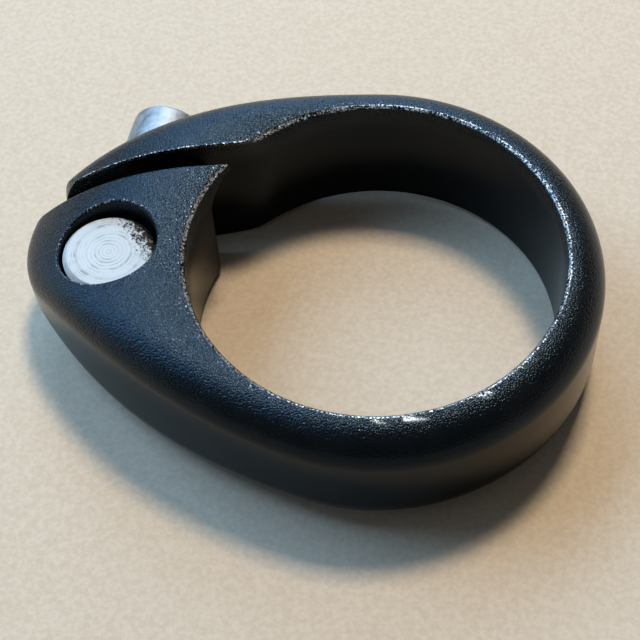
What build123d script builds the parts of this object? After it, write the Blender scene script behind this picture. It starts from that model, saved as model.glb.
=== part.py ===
from build123d import *
import os
from math import acos, asin, cos, degrees, radians, sin, sqrt, tan

# Seatpost clamp: a one-piece teardrop collar with a skewed slit through its nose. A socket-head bolt lies
# across the nose. Its head and washer belong in a pocket of the ear behind the slit, and it screws into a
# round barrel nut that stands in a hole through the nose.
# Millimetres. The origin is the middle of the bore, +Z is up along the bore, the nose points along -X, and
# the bolt lies along Y with its head at +Y. Apart from the beak, top and bottom are the same.

# Collar. Its top and bottom are crowned: they rise from the bore to the crown, then fall towards the tip
bore_radius = 15.9
collar_height = 12.9
tip_height = 2.9
ring_wall = 3.35
nose_length = 15.2
nose_radius = 9.2
side_radius = 49.0
crown_distance = 3.7
edge_round = 3.15
edge_share = 0.86
rim_chamfer = 0.3

# Slit: its angle to the nose, and the distance from the bore axis to its face on the nut's side
slit_angle = 20.0
slit_distance = 11.5
slit_width = 2.0
slit_round = 0.3
slit_blend = 8.0
ear_trim = 1.5
ear_end_round = 6.2

# Between the bore and the slit the nut's side ends in a sharp tip, which is cut away below a thin beak
beak_thickness = 0.8
relief_length = 2.1
relief_round = 2.6

# Barrel nut, placed by its distance from the bore's wall and by the wall left beside its hole
nut_setback = 6.5
nut_wall = 1.7
nut_radius = 4.0
nut_clearance = 0.3
nut_hole_round = 0.25
nut_length = 9.2
nut_chamfer = 0.4

# Bolt. The slack is how far it stands unscrewed from its seat
bolt_slack = 1.4
bolt_length = 16.0
thread_radius = 2.0
thread_clearance = 0.05
bolt_end_chamfer = 0.5
bolt_end_clearance = 0.2
bolt_hole_clearance = 0.25
head_radius = 3.5
head_height = 4.0
head_chamfer = 0.35
socket_flats = 3.0
socket_depth = 2.2
drill_point_angle = 120.0

# Washer and its seat in the ear
washer_radius = 3.5
washer_thickness = 0.8
washer_clearance = 0.08
ear_thickness = 2.4
pocket_clearance = 0.4

# Places that follow from the sizes above
half_height = collar_height / 2
ring_radius = bore_radius + ring_wall
nose_reach = bore_radius + nose_length
nose_centre = nose_reach - nose_radius
nut_hole_radius = nut_radius + nut_clearance
nut_x = -(bore_radius + nut_setback)
nut_y = -(nose_radius - nut_wall - nut_hole_radius)
slit_middle = slit_distance + slit_width / 2
slit_far_face = slit_distance + slit_width
slit_far_y = (slit_far_face + nut_x * sin(radians(slit_angle))) / cos(radians(slit_angle))
seat_y = slit_far_y + ear_thickness
washer_y = seat_y + bolt_slack
head_y = washer_y + washer_thickness
bolt_hole_y = seat_y + washer_thickness - bolt_length - bolt_end_clearance
pocket_radius = max(washer_radius, head_radius) + pocket_clearance
clear_of_collar = 2 * nose_reach
relief_end = sqrt(bore_radius**2 - slit_distance**2) + relief_length

# The ear behind the slit ends in a round short of the sharp tip where the slit's far face would meet the nose
ear_tip_drop = slit_far_face - nose_centre * sin(radians(slit_angle))
ear_tip = nose_centre * cos(radians(slit_angle)) + sqrt(nose_radius**2 - ear_tip_drop**2)
ear_round_middle = ear_tip - ear_trim - ear_end_round

# The slit's far face runs into the bore over an arc that touches both
blend_reach = bore_radius + slit_blend
blend_y = slit_far_face + slit_blend
blend_centre = Vector(-sqrt(blend_reach**2 - blend_y**2), blend_y)
blend_start = (blend_centre.X, slit_far_face)
blend_end = blend_centre * (bore_radius / blend_reach)

# The side arcs touch the circles of the ring and the nose. The arc at +Y has its centre at -Y
ring_gap = side_radius - ring_radius
nose_gap = side_radius - nose_radius
side_x = -(ring_gap**2 - nose_gap**2 + nose_centre**2) / (2 * nose_centre)
side_centre = Vector(side_x, -sqrt(ring_gap**2 - side_x**2))
nose_middle = Vector(-nose_centre, 0)
ring_touch = -side_centre * (ring_radius / ring_gap)
nose_touch = nose_middle + (nose_middle - side_centre) * (nose_radius / nose_gap)

# The crown is an arc that runs from well inside the bore, over the crown and on past the tip
crown_middle = bore_radius + crown_distance
tip_run = nose_reach - crown_middle
tip_drop = half_height - tip_height / 2
crown_radius = (tip_run**2 + tip_drop**2) / (2 * tip_drop)
crown_inner_angle = asin((crown_distance + ring_wall) / crown_radius)
crown_outer_angle = acos(1 - half_height / crown_radius)
rim_height = half_height - crown_radius + sqrt(crown_radius**2 - crown_distance**2)

# The low wall at the tip limits the rounding of the edges, which takes up a share of it at most
tip_slope = asin(tip_run / crown_radius)
edge_limit = tip_height / 2 / tan((radians(90) - tip_slope) / 2)
edge_radius = min(edge_round, edge_share * edge_limit)

# An upright plane along the slit, a plane that looks along the bolt from the nut to the head, and one that
# has the bolt's axis as its upright
slit_plane = Plane.XZ.rotated((0, 0, slit_angle))
along_bolt = Plane(origin=(nut_x, 0, 0), x_dir=(-1, 0, 0), z_dir=(0, 1, 0))
bolt_section = Plane(origin=(nut_x, head_y, 0))
bolt_axis = Axis((nut_x, head_y, 0), (0, 1, 0))


# The collar: a teardrop block with a crowned top and bottom, rounded along its outside, then bored, slit
# and drilled
with BuildPart() as collar:
    with BuildSketch() as plan:
        with BuildLine() as outline:
            ThreePointArc((ring_radius, 0), (0, ring_radius), ring_touch)
            RadiusArc(ring_touch, nose_touch, -side_radius)
            RadiusArc(nose_touch, (-nose_reach, 0), -nose_radius)
            mirror(about=Plane.XZ)
        make_face()
    extrude(amount=half_height, both=True)

    with BuildSketch(Plane.XZ) as lens:
        with BuildLine() as lens_outline:
            crown = CenterArc(
                center=(crown_middle, half_height - crown_radius),
                radius=crown_radius,
                start_angle=90 + degrees(crown_inner_angle),
                arc_size=-degrees(crown_inner_angle + crown_outer_angle),
            )
            Polyline((0, 0), (0, (crown @ 0).Y), crown @ 0)
            mirror(about=Plane.XZ)
        make_face()
    revolve(axis=Axis.Z, mode=Mode.INTERSECT)

    walls = collar.faces().filter_by(lambda face: abs(face.normal_at().Z) < 0.001)
    fillet(walls.edges().filter_by(Axis.Z, reverse=True), edge_radius)

    with BuildSketch(Plane.XZ) as bore:
        with BuildLine() as bore_outline:
            bore_end = rim_height - rim_chamfer
            Polyline(
                (0, 0),
                (0, bore_end + collar_height),
                (bore_radius + collar_height, bore_end + collar_height),
                (bore_radius, bore_end),
                (bore_radius, 0),
            )
            mirror(about=Plane.XZ)
        make_face()
    revolve(axis=Axis.Z, mode=Mode.SUBTRACT)

    with BuildSketch(Plane.XY.rotated((0, 0, slit_angle))) as slit:
        with Locations((0, slit_distance)):
            Rectangle(clear_of_collar, slit_width, align=(Align.MAX, Align.MIN))
        with BuildLine() as blend:
            TangentArc(blend_start, blend_end, tangent=(1, 0))
            Polyline(blend_end, (0, slit_distance), blend_start)
        make_face()
    extrude(amount=half_height, both=True, mode=Mode.SUBTRACT)
    near_face = collar.faces().filter_by(slit_plane).sort_by(Axis.Y)[0]
    fillet(near_face.edges().filter_by(lambda edge: edge.center().X < -bore_radius), slit_round)

    with BuildSketch(slit_plane) as relief:
        with Locations((0, -half_height)):
            relief_height = half_height + rim_height - beak_thickness
            Rectangle(relief_end, relief_height, align=(Align.MAX, Align.MIN))
        fillet(relief.vertices().group_by(Axis.Y)[-1].sort_by(Axis.X)[0], relief_round)
    extrude(amount=-slit_middle, mode=Mode.SUBTRACT)

    with BuildSketch(slit_plane.offset(-slit_middle)) as ear_end:
        with Locations((-ear_round_middle, 0)):
            Rectangle(clear_of_collar, collar_height, align=(Align.MAX, Align.CENTER))
            Circle(ear_end_round, mode=Mode.SUBTRACT)
    extrude(amount=-clear_of_collar, mode=Mode.SUBTRACT)

    with BuildSketch() as nut_hole:
        with Locations((nut_x, nut_y)):
            Circle(nut_hole_radius)
    extrude(amount=half_height, both=True, mode=Mode.SUBTRACT)
    fillet(collar.edges(Select.LAST).filter_by(Axis.Z, reverse=True), nut_hole_round)

    with BuildSketch(along_bolt.offset(bolt_hole_y)) as bolt_hole:
        Circle(thread_radius + bolt_hole_clearance)
    extrude(amount=seat_y - bolt_hole_y, mode=Mode.SUBTRACT)

    with BuildSketch(along_bolt.offset(seat_y)) as head_pocket:
        Circle(pocket_radius)
    extrude(amount=clear_of_collar, mode=Mode.SUBTRACT)

# The barrel nut: a short turned bar with the bolt's thread across its middle
with BuildPart() as barrel_nut:
    with BuildSketch() as nut_face:
        with Locations((nut_x, nut_y)):
            Circle(nut_radius)
    extrude(amount=nut_length / 2, both=True)
    chamfer(barrel_nut.faces().filter_by(Axis.Z).edges(), nut_chamfer)
    with BuildSketch(along_bolt.offset(nut_y)) as nut_thread:
        Circle(thread_radius + thread_clearance)
    extrude(amount=nut_radius, both=True, mode=Mode.SUBTRACT)

# The washer under the bolt's head
with BuildPart() as washer:
    with BuildSketch(along_bolt.offset(washer_y)) as washer_face:
        Circle(washer_radius)
        Circle(thread_radius + washer_clearance, mode=Mode.SUBTRACT)
    extrude(amount=washer_thickness)

# The bolt: shank and cylinder head turned in one, with a hexagon socket that ends in a drill point
with BuildPart() as bolt:
    with BuildSketch(bolt_section) as bolt_half:
        with BuildLine() as bolt_outline:
            Polyline(
                (0, -bolt_length),
                (thread_radius - bolt_end_chamfer, -bolt_length),
                (thread_radius, bolt_end_chamfer - bolt_length),
                (thread_radius, 0),
                (head_radius, 0),
                (head_radius, head_height - head_chamfer),
                (head_radius - head_chamfer, head_height),
                (0, head_height),
                close=True,
            )
        make_face()
    revolve(axis=bolt_axis)
    with BuildSketch(along_bolt.offset(head_y + head_height)) as socket:
        RegularPolygon(socket_flats / 2, 6, major_radius=False)
    extrude(amount=-socket_depth, mode=Mode.SUBTRACT)
    with BuildSketch(bolt_section) as drill_point:
        socket_floor = head_height - socket_depth
        point_depth = socket_flats / 2 / tan(radians(drill_point_angle / 2))
        with BuildLine() as point_outline:
            Polyline(
                (0, socket_floor),
                (socket_flats / 2, socket_floor),
                (0, socket_floor - point_depth),
                close=True,
            )
        make_face()
    revolve(axis=bolt_axis, mode=Mode.SUBTRACT)


# Each piece is written to a file of its own
os.makedirs("parts", exist_ok=True)

collar.part.label = "collar"
barrel_nut.part.label = "barrel_nut"
washer.part.label = "washer"
bolt.part.label = "bolt"

export_step(collar.part, "parts/collar.step")
export_step(barrel_nut.part, "parts/barrel_nut.step")
export_step(washer.part, "parts/washer.step")
export_step(bolt.part, "parts/bolt.step")
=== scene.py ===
from math import cos, pi, radians, sin, tan

import bmesh
import bpy
from mathutils import Matrix, Vector


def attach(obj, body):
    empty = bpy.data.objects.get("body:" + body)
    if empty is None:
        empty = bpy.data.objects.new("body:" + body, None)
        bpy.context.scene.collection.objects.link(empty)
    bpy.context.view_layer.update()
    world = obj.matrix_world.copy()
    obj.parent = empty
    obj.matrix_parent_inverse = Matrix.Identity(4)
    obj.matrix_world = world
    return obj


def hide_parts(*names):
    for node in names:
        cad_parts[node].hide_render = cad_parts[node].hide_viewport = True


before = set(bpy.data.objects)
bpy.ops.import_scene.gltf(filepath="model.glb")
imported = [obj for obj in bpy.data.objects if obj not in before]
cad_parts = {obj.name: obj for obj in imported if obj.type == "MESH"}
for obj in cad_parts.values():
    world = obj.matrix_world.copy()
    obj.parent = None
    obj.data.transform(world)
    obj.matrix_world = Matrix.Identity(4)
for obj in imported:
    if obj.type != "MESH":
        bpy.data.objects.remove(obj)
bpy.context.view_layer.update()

MM = 0.001

# Places and sizes in the part's frame, in millimetres: bore, crown, slit, nut, bolt and floor
BORE_RADIUS = 15.9
HALF_HEIGHT = 6.45
CROWN_MIDDLE = 19.6
CROWN_RADIUS = 15.725
SLIT_ANGLE = radians(20)
SLIT_FAR = 13.5
NUT_X = -22.4
NUT_Y = -3.2
NUT_RADIUS = 4.0
NUT_LENGTH = 9.2
NUT_CHAMFER = 0.4
NUT_HOLE_RADIUS = 4.3
NUT_THREAD_RADIUS = 2.05
HEAD_Y = 10.813
HEAD_RADIUS = 3.5
HEAD_HEIGHT = 4.0
HEAD_ROUND = 0.35
SOCKET_FLATS = 3.0
SOCKET_DEPTH = 2.2
BOLT_LENGTH = 16.0
CREST_RADIUS = 2.0
ROOT_RADIUS = 1.62
THREAD_PITCH = 0.7
FLOOR_Z = -HALF_HEIGHT

# One turn of the thread: the share of the pitch at which each corner lies, and its radius
THREAD_PROFILE = ((0, CREST_RADIUS), (0.125, CREST_RADIUS), (0.4375, ROOT_RADIUS), (0.6875, ROOT_RADIUS))

# The photograph's camera: its place in millimetres, its angles in degrees, and its focal length in pixels
CAMERA_PLACE = (15.0264, -73.8569, 105.293)
CAMERA_AZIMUTH = 15.291
CAMERA_ELEVATION = 55.396
CAMERA_ROLL = -3.983
FOCAL_PIXELS = 1500.0
FRAME_PIXELS = 640.0
SENSOR_MM = 36.0

# Angles round a turned piece, a multiple of six of them so that the socket's corners fall on a step
STEPS = 96
TURNS = [2 * pi * i / STEPS for i in range(STEPS)]

# Angles round a quarter of a circle, for rounded edges
ROUND_STEPS = 6
QUARTER = [pi / 2 * step / ROUND_STEPS for step in range(ROUND_STEPS + 1)]

# Edges that bend by more than this many degrees stay sharp
SHARP_DEGREES = 28

# Points nearer to each other than this many metres become one
WELD = 1e-7

# Colours of the lamps and the world
WARM = (1.0, 0.89, 0.72)
WINDOW_BLUE = (0.34, 0.62, 1.0)
SKY_BLUE = (0.34, 0.63, 1.0)
WORLD_COLOUR = (0.85, 0.92, 1.0, 1)
WORLD_STRENGTH = 0.12


# Camera
def add_camera():
    az = radians(CAMERA_AZIMUTH)
    el = radians(CAMERA_ELEVATION)
    roll = radians(CAMERA_ROLL)
    back = Vector((sin(az) * cos(el), -cos(az) * cos(el), sin(el)))
    right = Vector((cos(az), sin(az), 0))
    up = back.cross(right)
    right_rolled = right * cos(roll) + up * sin(roll)
    up_rolled = up * cos(roll) - right * sin(roll)
    data = bpy.data.cameras.new("camera")
    data.sensor_width = SENSOR_MM
    data.lens = FOCAL_PIXELS / FRAME_PIXELS * SENSOR_MM
    data.clip_start = 0.005
    data.clip_end = 20.0
    camera = bpy.data.objects.new("camera", data)
    bpy.context.scene.collection.objects.link(camera)
    turn = Matrix((right_rolled, up_rolled, back)).transposed()
    camera.matrix_world = Matrix.Translation(Vector(CAMERA_PLACE) * MM) @ turn.to_4x4()
    bpy.context.scene.camera = camera


# Short ways to add shader nodes, with places in millimetres
class Shading:
    def __init__(self, name):
        self.material = bpy.data.materials.new(name)
        self.material.use_nodes = True
        self.tree = self.material.node_tree
        self.shader = self.tree.nodes["Principled BSDF"]
        place = self.add("ShaderNodeTexCoord").outputs["Object"]
        scaled = self.add("ShaderNodeVectorMath", operation="SCALE")
        self.put(scaled.inputs[0], place)
        scaled.inputs["Scale"].default_value = 1 / MM
        self.place = scaled.outputs[0]

    def put(self, socket, value):
        if isinstance(value, bpy.types.NodeSocket):
            self.tree.links.new(value, socket)
        else:
            socket.default_value = value

    def add(self, kind, **settings):
        node = self.tree.nodes.new(kind)
        for name, value in settings.items():
            setattr(node, name, value)
        return node

    def set(self, **values):
        for name, value in values.items():
            self.put(self.shader.inputs[name.replace("_", " ")], value)

    def math(self, operation, *values):
        node = self.add("ShaderNodeMath", operation=operation)
        for socket, value in zip(node.inputs, values):
            self.put(socket, value)
        return node.outputs[0]

    def less(self, value, taken):
        return self.math("SUBTRACT", value, taken)

    def times(self, value, factor):
        return self.math("MULTIPLY", value, factor)

    # The first value and a share of the second
    def plus(self, first, second, share=1.0):
        return self.math("ADD", first, self.times(second, share))

    # How far a value is from a middle one, to either side
    def apart(self, value, middle):
        return self.math("ABSOLUTE", self.less(value, middle))

    def product(self, *values):
        result = values[0]
        for value in values[1:]:
            result = self.times(result, value)
        return result

    def most(self, *values):
        result = values[0]
        for value in values[1:]:
            result = self.math("MAXIMUM", result, value)
        return result

    def axes(self):
        split = self.add("ShaderNodeSeparateXYZ")
        self.put(split.inputs[0], self.place)
        return split.outputs

    # Eases from one value below low to another above high
    def ease(self, value, low, high, start=0.0, end=1.0):
        node = self.add("ShaderNodeMapRange", interpolation_type="SMOOTHSTEP")
        self.put(node.inputs["Value"], value)
        self.put(node.inputs["From Min"], low)
        self.put(node.inputs["From Max"], high)
        self.put(node.inputs["To Min"], start)
        self.put(node.inputs["To Max"], end)
        return node.outputs["Result"]

    # Eases from 1 below low to 0 above high
    def fade(self, value, low, high):
        return self.ease(value, low, high, 1.0, 0.0)

    def noise(self, scale, detail=2.0, roughness=0.5, shift=(0, 0, 0)):
        mapping = self.add("ShaderNodeMapping")
        self.put(mapping.inputs["Vector"], self.place)
        mapping.inputs["Location"].default_value = shift
        node = self.add("ShaderNodeTexNoise")
        self.put(node.inputs["Vector"], mapping.outputs[0])
        node.inputs["Scale"].default_value = scale
        node.inputs["Detail"].default_value = detail
        node.inputs["Roughness"].default_value = roughness
        return node.outputs["Fac"]

    # Domes packed side by side: 0 at the middle of each, falling away from it
    def domes(self, scale):
        node = self.add("ShaderNodeTexVoronoi", feature="F1")
        self.put(node.inputs["Vector"], self.place)
        node.inputs["Scale"].default_value = scale
        return self.times(self.math("POWER", node.outputs["Distance"], 2.0), -1.0)

    def mix(self, amount, first, second):
        node = self.add("ShaderNodeMix", data_type="FLOAT")
        self.put(node.inputs[0], amount)
        self.put(node.inputs[2], first)
        self.put(node.inputs[3], second)
        return node.outputs[0]

    def mix_colour(self, amount, first, second):
        node = self.add("ShaderNodeMix", data_type="RGBA")
        self.put(node.inputs[0], amount)
        self.put(node.inputs[6], first)
        self.put(node.inputs[7], second)
        return node.outputs[2]

    # Distance from an upright line at x, y
    def from_axis(self, x, y):
        across, along, _ = self.axes()
        dx = self.less(across, x)
        dy = self.less(along, y)
        return self.math("SQRT", self.plus(self.times(dx, dx), self.times(dy, dy)))

    # A line on the top from one point to another, 1 on it and 0 beside it
    def streak(self, start, end, width):
        x, y, _ = self.axes()
        run = Vector(end) - Vector(start)
        way = run.normalized()
        dx = self.less(x, start[0])
        dy = self.less(y, start[1])
        along = self.plus(self.times(dx, way.x), dy, way.y)
        across = self.less(self.times(dx, way.y), self.times(dy, way.x))
        side = self.fade(self.math("ABSOLUTE", across), width * 0.3, width)
        first = self.ease(along, -0.1, 0.25)
        last = self.fade(along, run.length * 0.7, run.length)
        return self.product(side, first, last)

    def bump(self, height, distance):
        node = self.add("ShaderNodeBump")
        node.inputs["Strength"].default_value = 1.0
        node.inputs["Distance"].default_value = distance * MM
        self.put(node.inputs["Height"], height)
        self.put(self.shader.inputs["Normal"], node.outputs["Normal"])


# The collar's coat: near black and satin, with a fine grain, worn to the metal along its sharp rims, and
# with a painted blue tint on its highlights
def black_coat():
    coat_dark = (0.003, 0.0032, 0.0036, 1)
    coat_light = (0.005, 0.0054, 0.006, 1)
    metal_dull = (0.58, 0.57, 0.54, 1)
    metal_bright = (0.88, 0.87, 0.84, 1)
    painted_blue_reflection_tint = (0.5, 0.76, 1.0, 1)
    wall_roughness = 0.14
    worn_roughness = 0.45
    top_sheen, wall_sheen = 0.3, 0.14
    grain_height = 0.045

    s = Shading("black_coat")
    x, y, z = s.axes()
    grain = s.noise(6.0, 2.0, 0.55)
    fine = s.noise(11.0, 2.0, 0.6)
    patches = s.noise(0.35, 3.0, 0.6)
    specks = s.noise(5.5, 3.0, 0.6, shift=(7, 3, 1))
    loose_specks = s.plus(specks, s.less(patches, 0.5), 0.25)

    # How far a point lies under the crowned top
    from_bore = s.from_axis(0, 0)
    off_bore = s.less(from_bore, BORE_RADIUS)
    off_crown = s.less(from_bore, CROWN_MIDDLE)
    fall = s.math("SQRT", s.less(CROWN_RADIUS**2, s.times(off_crown, off_crown)))
    under_top = s.less(s.math("ADD", fall, HALF_HEIGHT - CROWN_RADIUS), z)
    at_top = s.fade(under_top, 0.12, 0.4)
    on_wall = s.ease(under_top, 0.5, 3.0)

    # The bore's rim: a bright broken line, and loose specks beside it
    off_rim = s.apart(from_bore, BORE_RADIUS + 0.2)
    rim = s.product(s.fade(off_rim, 0.04, 0.2), s.fade(under_top, 0.25, 0.5))
    rim_worn = s.product(rim, s.ease(loose_specks, 0.45, 0.58))
    beside = s.product(s.fade(off_bore, 0.3, 1.1), at_top)
    rim_specks = s.product(beside, s.ease(loose_specks, 0.62, 0.7))

    # Sparse specks on the nose, between the bore and the nut
    on_nose = s.product(s.fade(off_bore, 0.8, 5.5), s.fade(x, -14.0, -11.0), at_top)
    nose_specks = s.product(on_nose, s.ease(specks, 0.64, 0.72), 0.55)

    # The far edge of the slit
    across_slit = s.less(s.times(y, cos(SLIT_ANGLE)), s.times(x, sin(SLIT_ANGLE)))
    off_far = s.apart(across_slit, SLIT_FAR)
    far_edge = s.product(s.fade(off_far, 0.05, 0.2), s.fade(x, -11.0, -10.0), at_top)
    slit_worn = s.product(far_edge, s.ease(loose_specks, 0.5, 0.62))

    # The rim of the nut's hole
    off_hole = s.apart(s.from_axis(NUT_X, NUT_Y), NUT_HOLE_RADIUS + 0.15)
    hole_rim = s.product(s.fade(off_hole, 0.04, 0.16), at_top)
    hole_worn = s.product(hole_rim, s.ease(loose_specks, 0.55, 0.68), 0.5)

    # Scratches on the front and the right of the ring
    ragged = s.ease(specks, 0.36, 0.5)
    deep = s.streak((5.1, -15.6), (8.0, -15.3), 0.34)
    second = s.product(s.streak((2.8, -16.05), (4.95, -16.65), 0.28), ragged, 0.6)
    chipped = s.product(s.streak((10.4, -12.1), (12.3, -12.4), 0.6), s.ease(specks, 0.46, 0.56))
    hairs = s.product(s.most(
        s.streak((16.6, 2.9), (18.4, 1.65), 0.07),
        s.streak((16.7, 1.7), (18.1, 1.5), 0.06),
        s.streak((17.2, 3.4), (17.7, 0.9), 0.06)), 0.12)
    scratches = s.product(s.most(deep, second, chipped, hairs), at_top)
    worn = s.most(rim_worn, rim_specks, nose_specks, slit_worn, hole_worn, scratches)

    coat = s.mix_colour(s.ease(patches, 0.35, 0.7), coat_dark, coat_light)
    metal = s.mix_colour(fine, metal_dull, metal_bright)
    s.set(Base_Color=s.mix_colour(worn, coat, metal))
    s.set(Metallic=worn)
    coat_roughness = s.mix(on_wall, s.ease(grain, 0.3, 0.7, 0.22, 0.3), wall_roughness)
    s.set(Roughness=s.mix(worn, coat_roughness, worn_roughness))
    s.set(Specular_IOR_Level=s.mix(on_wall, top_sheen, wall_sheen))
    # Painted reflection colour: the blue tint stands in for the blue window light in the coat's highlights
    s.set(Specular_Tint=painted_blue_reflection_tint)

    # The grain stands proud on the top and fades down the walls
    lumps = s.plus(grain, fine, 0.3)
    relief = s.plus(s.domes(6.0), lumps, 0.4)
    relief = s.product(relief, s.mix(on_wall, 1.0, 0.07))
    s.bump(s.plus(relief, worn, -0.3), grain_height)
    return s.material


# The nut: turned steel with thin rings, and grime with painted shade on the side away from the tip of the
# nose, where the hole's wall shades it
def nut_steel():
    steel_dark = (0.4, 0.4, 0.385, 1)
    steel_light = (0.64, 0.64, 0.62, 1)
    # The near black colour is grime together with painted shade
    grime_and_shade_colour = (0.03, 0.021, 0.013, 1)
    groove_roughness, face_roughness, grime_and_shade_roughness = 0.9, 0.84, 0.9
    ring_height = 0.012

    s = Shading("nut_steel")
    x, y, _ = s.axes()
    from_middle = s.from_axis(NUT_X, NUT_Y)
    turned = s.add("ShaderNodeTexNoise", noise_dimensions="1D")
    s.put(turned.inputs["W"], s.plus(s.times(from_middle, 3.0), s.noise(0.9), 0.9))
    turned.inputs["Scale"].default_value = 1.0
    turned.inputs["Detail"].default_value = 2.0
    smeared = s.ease(s.noise(0.8, 3.0, 0.6, shift=(1, 1, 4)), 0.36, 0.52)
    thin = s.ease(s.apart(turned.outputs["Fac"], 0.5), 0.0, 0.05)
    rings = s.most(thin, s.times(smeared, 0.8))
    # Painted shade mixed with dirt: darker towards the back and right, where the hole's wall shades the
    # nut, with dirt specks at its edge
    shade_and_grime_side = s.plus(s.times(s.less(x, NUT_X), 0.7), s.less(y, NUT_Y), 0.7)
    blots = s.noise(3.0, 4.0, 0.75, shift=(2, 5, 0))
    loose_blots = s.times(s.less(blots, 0.5), 2.4)
    grime_and_shade = s.ease(s.plus(loose_blots, s.ease(shade_and_grime_side, -1.0, 5.4, -0.8, 0.75)), 0.0, 0.3)
    steel = s.mix_colour(rings, steel_dark, steel_light)
    s.set(Base_Color=s.mix_colour(grime_and_shade, steel, grime_and_shade_colour))
    s.set(Metallic=s.less(1.0, grime_and_shade))
    s.set(Roughness=s.mix(grime_and_shade, s.mix(rings, groove_roughness, face_roughness), grime_and_shade_roughness))
    s.set(Specular_IOR_Level=0.1)
    s.bump(s.plus(s.noise(12.0, 2.0), rings, 0.8), ring_height)
    return s.material


# The bolt and its washer: satin steel, mottled
def bolt_steel():
    steel_dark = (0.26, 0.265, 0.268, 1)
    steel_light = (0.38, 0.385, 0.388, 1)
    mottle_height = 0.012

    s = Shading("bolt_steel")
    mottle = s.noise(1.3, 4.0, 0.65)
    fine = s.noise(7.0, 2.0)
    s.set(Base_Color=s.mix_colour(s.ease(mottle, 0.35, 0.65), steel_dark, steel_light))
    s.set(Metallic=1.0)
    s.set(Roughness=s.ease(s.plus(mottle, fine, 0.4), 0.5, 0.95, 0.46, 0.6))
    s.bump(s.plus(fine, mottle), mottle_height)
    return s.material


# Pieces
def new_piece(name, bm, material):
    bmesh.ops.recalc_face_normals(bm, faces=bm.faces)
    mesh = bpy.data.meshes.new(name)
    bm.to_mesh(mesh)
    bm.free()
    mesh.materials.append(material)
    mesh.shade_smooth()
    mesh.set_sharp_from_angle(angle=radians(SHARP_DEGREES))
    piece = bpy.data.objects.new(name, mesh)
    bpy.context.scene.collection.objects.link(piece)
    return piece


# Joins rings of points, each of STEPS points, and closes an end with a fan where its middle is given
def join_rings(bm, rings, first_middle=None, last_middle=None):
    made = [[bm.verts.new(point) for point in ring] for ring in rings]
    for lower, upper in zip(made, made[1:]):
        for i in range(STEPS):
            j = (i + 1) % STEPS
            bm.faces.new((lower[i], lower[j], upper[j], upper[i]))
    for ring, middle in ((made[0], first_middle), (made[-1], last_middle)):
        if middle is None:
            continue
        centre = bm.verts.new(middle)
        for i in range(STEPS):
            bm.faces.new((ring[i], ring[(i + 1) % STEPS], centre))


# A point on the bolt: how far past the head's underside, how far from the axis, and the angle about +Y
def on_bolt(along, radius, angle):
    return Vector((NUT_X + radius * sin(angle), HEAD_Y + along, radius * cos(angle))) * MM


def bolt_ring(along, radius):
    return [on_bolt(along, radius, angle) for angle in TURNS]


def hexagon_ring(along, flats):
    ring = []
    for angle in TURNS:
        from_flat = (angle % (pi / 3)) - pi / 6
        ring.append(on_bolt(along, flats / 2 / cos(from_flat), angle))
    return ring


# The bolt's thread is a grid of points that rises one pitch a turn, held between the tip and the neck
def add_thread(bm, tip, tip_radius, neck):
    runout_slope = 0.8
    turns = int((neck - tip) / THREAD_PITCH) + 3
    rows = [(turn + share, radius) for turn in range(turns) for share, radius in THREAD_PROFILE]
    grid = []
    for i, angle in enumerate(TURNS):
        column = []
        for turn, radius in rows:
            along = tip + THREAD_PITCH * (turn - 1 + i / STEPS)
            if along <= tip:
                along, radius = tip, tip_radius
            elif along >= neck:
                along, radius = neck, ROOT_RADIUS
            else:
                runout = ROOT_RADIUS + runout_slope * (neck - along)
                radius = min(radius, tip_radius + along - tip, runout)
            column.append(bm.verts.new(on_bolt(along, radius, angle)))
        grid.append(column)

    # The last column joins the first one turn further up
    last = len(rows) - 1
    for i in range(STEPS):
        step = len(THREAD_PROFILE) if i == STEPS - 1 else 0
        this, other = grid[i], grid[(i + 1) % STEPS]
        for k in range(last):
            low, high = min(k + step, last), min(k + 1 + step, last)
            corners = [this[k], other[low], other[high], this[k + 1]]
            corners = [c for n, c in enumerate(corners) if c not in corners[:n]]
            if len(corners) > 2:
                bm.faces.new(corners)


def add_bolt(material):
    tip, tip_radius = -BOLT_LENGTH, 1.45
    neck, root_fillet = -0.9, 0.25
    under_bevel, mouth_bevel = 0.12, 0.14
    drill_radius = SOCKET_FLATS / 2 - 0.05
    drill_slope = tan(radians(30))
    bm = bmesh.new()
    add_thread(bm, tip, tip_radius, neck)
    join_rings(bm, [bolt_ring(tip, tip_radius)], first_middle=on_bolt(tip, 0, 0))

    # The neck, the head's underside and its rounded end
    rings = [bolt_ring(neck, ROOT_RADIUS)]
    for turn in QUARTER:
        rings.append(bolt_ring(-root_fillet * (1 - sin(turn)), ROOT_RADIUS + root_fillet * (1 - cos(turn))))
    rings.append(bolt_ring(0, HEAD_RADIUS - under_bevel))
    rings.append(bolt_ring(under_bevel, HEAD_RADIUS))
    for turn in QUARTER:
        along = HEAD_HEIGHT - HEAD_ROUND * (1 - sin(turn))
        rings.append(bolt_ring(along, HEAD_RADIUS - HEAD_ROUND * (1 - cos(turn))))

    # The hexagon socket, with the drill's cone at its bottom
    corner_radius = SOCKET_FLATS / 2 / cos(pi / 6)
    socket_floor = HEAD_HEIGHT - SOCKET_DEPTH
    rings.append(bolt_ring(HEAD_HEIGHT, corner_radius + mouth_bevel / 2))
    rings.append(hexagon_ring(HEAD_HEIGHT - mouth_bevel, SOCKET_FLATS))
    rings.append(hexagon_ring(socket_floor, SOCKET_FLATS))
    rings.append(bolt_ring(socket_floor, drill_radius))
    drill_end = socket_floor - drill_radius * drill_slope
    join_rings(bm, rings, last_middle=on_bolt(drill_end, 0, 0))
    bmesh.ops.remove_doubles(bm, verts=bm.verts, dist=WELD)
    piece = new_piece("bolt_threaded", bm, material)
    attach(piece, "bolt")
    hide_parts("bolt")


def nut_ring(z, radius):
    return [Vector((NUT_X + radius * cos(a), NUT_Y + radius * sin(a), z)) * MM for a in TURNS]


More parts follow.
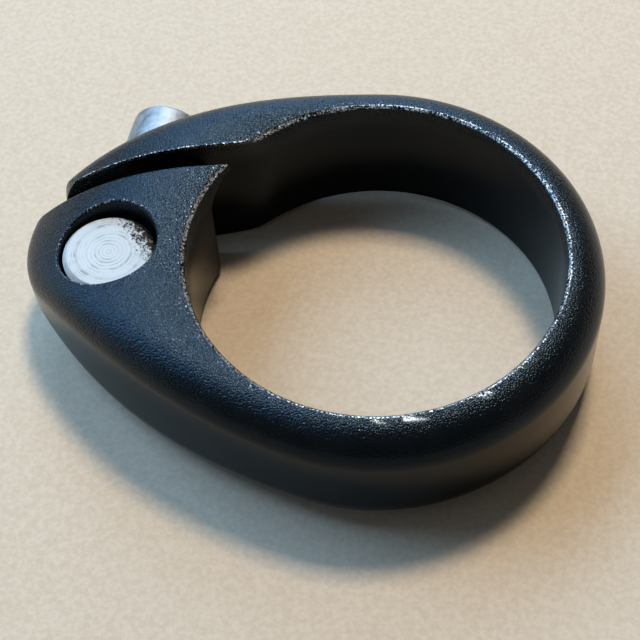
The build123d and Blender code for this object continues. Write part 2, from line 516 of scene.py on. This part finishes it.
# Half of the nut's outline, from the end's middle to the chamfer: shallow grooves left by the lathe tool
def nut_end():
    first_radius, groove_width, groove_gap, groove_depth = 0.22, 0.11, 0.26, 0.006
    gap_change, depth_change = 0.04, 0.004
    plain_edge = 0.2
    top = NUT_LENGTH / 2
    flat_radius = NUT_RADIUS - NUT_CHAMFER
    points = [(0.1, top - groove_depth)]
    groove, radius = 0, first_radius
    while radius < flat_radius - plain_edge:
        depth = groove_depth + depth_change * sin(2.4 * groove)
        points.append((radius, top))
        points.append((radius + groove_width, top - depth))
        radius += groove_gap + gap_change * sin(1.7 * groove)
        groove += 1
    points.append((flat_radius, top))
    points.append((NUT_RADIUS, top - NUT_CHAMFER))
    return points


def add_nut(material):
    points = nut_end()
    bm = bmesh.new()
    rings = [nut_ring(z, radius) for radius, z in points]
    rings += [nut_ring(-z, radius) for radius, z in reversed(points)]
    end_middles = [Vector((NUT_X, NUT_Y, z)) * MM for z in (NUT_LENGTH / 2, -NUT_LENGTH / 2)]
    join_rings(bm, rings, *end_middles)
    piece = new_piece("barrel_nut_turned", bm, material)

    # The tapped hole across it
    reach = NUT_RADIUS + 2
    sides = (NUT_Y - reach, NUT_Y + reach)
    cut = bmesh.new()
    rings = []
    for y in sides:
        spots = [(NUT_THREAD_RADIUS * sin(a), NUT_THREAD_RADIUS * cos(a)) for a in TURNS]
        rings.append([Vector((NUT_X + across, y, up)) * MM for across, up in spots])
    side_middles = [Vector((NUT_X, y, 0)) * MM for y in sides]
    join_rings(cut, rings, *side_middles)
    drill = new_piece("nut_drill", cut, material)
    modifier = piece.modifiers.new("tapped_hole", "BOOLEAN")
    modifier.operation = "DIFFERENCE"
    modifier.solver = "EXACT"
    modifier.object = drill
    bpy.context.view_layer.update()
    drilled = bpy.data.meshes.new_from_object(piece.evaluated_get(bpy.context.evaluated_depsgraph_get()))
    piece.modifiers.clear()
    piece.data = drilled
    bpy.data.objects.remove(drill)
    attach(piece, "collar")
    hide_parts("barrel_nut")


# Gives a CAD piece its material
def paint(node, material):
    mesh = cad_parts[node].data
    mesh.materials.clear()
    mesh.materials.append(material)


# Floor and light
def add_floor():
    half = 1.5
    card_dark = (0.56, 0.43, 0.3, 1)
    card_light = (0.64, 0.505, 0.37, 1)
    mesh = bpy.data.meshes.new("floor")
    corners = [(x * half, y * half, FLOOR_Z * MM) for x, y in ((-1, -1), (1, -1), (1, 1), (-1, 1))]
    mesh.from_pydata(corners, [], [(0, 1, 2, 3)])
    floor = bpy.data.objects.new("floor", mesh)
    bpy.context.scene.collection.objects.link(floor)
    s = Shading("floor_card")
    fibres = s.noise(1.9, 4.0, 0.7)
    s.set(Base_Color=s.mix_colour(s.ease(fibres, 0.3, 0.7), card_dark, card_light))
    s.set(Roughness=0.85)
    s.set(Specular_IOR_Level=0.2)
    mesh.materials.append(s.material)


# A lamp in metres and watts that faces the origin from the direction given
def add_area(name, way, distance, size, watts, colour):
    data = bpy.data.lights.new(name, "AREA")
    data.shape = "RECTANGLE"
    data.size, data.size_y = size
    data.energy = watts
    data.color = colour
    light = bpy.data.objects.new(name, data)
    bpy.context.scene.collection.objects.link(light)
    light.location = Vector(way).normalized() * distance
    light.rotation_euler = (-light.location).to_track_quat("-Z", "Y").to_euler()


def add_light():
    add_area("key", (0.043, 0.401, 0.915), 0.7, (0.12, 0.12), 3.8, WARM)
    add_area("window_left", (-0.66, 0.17, 0.73), 0.6, (0.36, 0.36), 3.4, WINDOW_BLUE)
    add_area("window_back", (-0.27, 0.71, 0.65), 0.6, (0.22, 0.2), 1.4, SKY_BLUE)
    add_area("sky_low", (-0.2, 0.94, 0.27), 0.6, (0.4, 0.16), 1.2, SKY_BLUE)
    add_area("sky_left", (-0.96, -0.06, 0.24), 0.6, (0.5, 0.16), 0.9, SKY_BLUE)
    world = bpy.data.worlds.new("studio")
    bpy.context.scene.world = world
    world.use_nodes = True
    background = world.node_tree.nodes["Background"]
    background.inputs["Color"].default_value = WORLD_COLOUR
    background.inputs["Strength"].default_value = WORLD_STRENGTH


add_camera()
bolt_finish = bolt_steel()
nut_finish = nut_steel()
paint("collar", black_coat())
paint("washer", bolt_finish)
paint("bolt", bolt_finish)
paint("barrel_nut", nut_finish)
add_bolt(bolt_finish)
add_nut(nut_finish)
add_floor()
add_light()
bpy.context.scene.view_settings.view_transform = "Standard"
